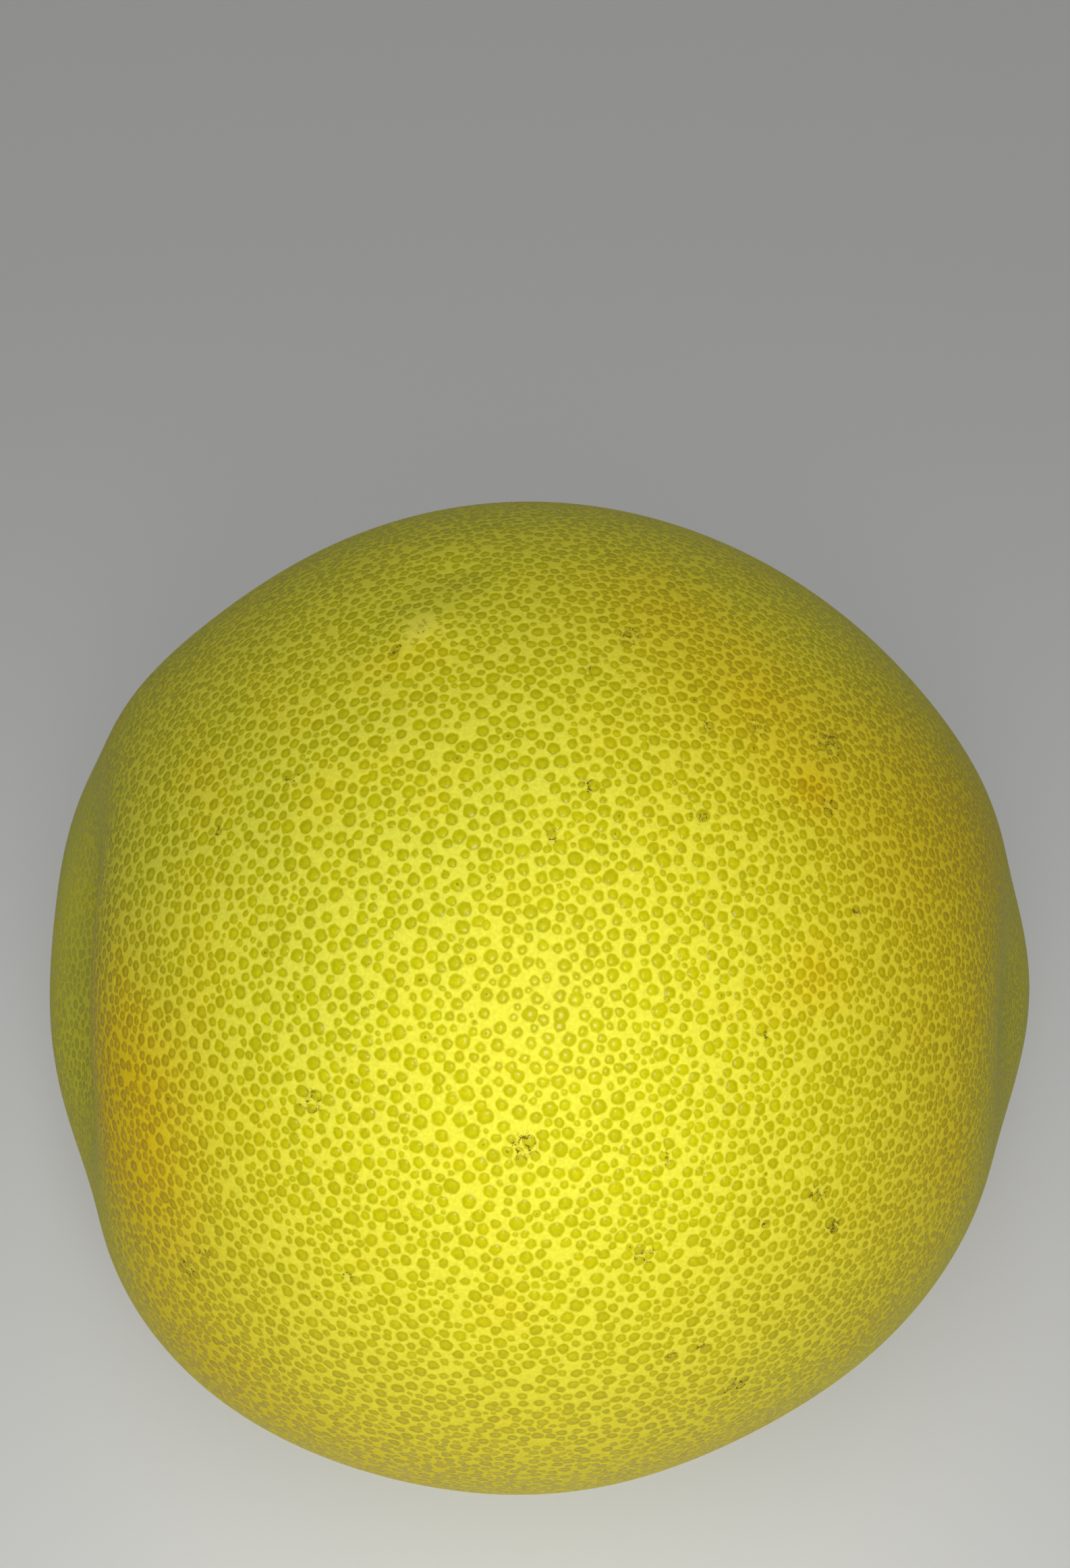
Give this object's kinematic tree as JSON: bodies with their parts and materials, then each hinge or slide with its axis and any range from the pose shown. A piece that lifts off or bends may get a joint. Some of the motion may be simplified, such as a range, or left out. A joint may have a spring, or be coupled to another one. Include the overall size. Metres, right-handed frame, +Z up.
{
  "type": "pomelo",
  "caption": "Whole ripe pomelo: a large, lumpy, nearly round citrus fruit with a pitted yellow-green rind, resting on a small flat spot.",
  "frame": {"origin": "the middle of the bounding box at its lowest level, on the surface that the fruit rests on", "axes": "+Z up, out through the blossom end that the fruit shows uppermost; +X to the right and +Y to the back of its front view"},
  "size_m": [0.1628, 0.1534, 0.1498],
  "materials": {
    "rind": "waxy citrus rind: pale yellow network round olive-yellow oil glands, slightly glossy"
  },
  "bodies": {
    "root": {"pomelo": "rind"}
  },
  "joints": []
}
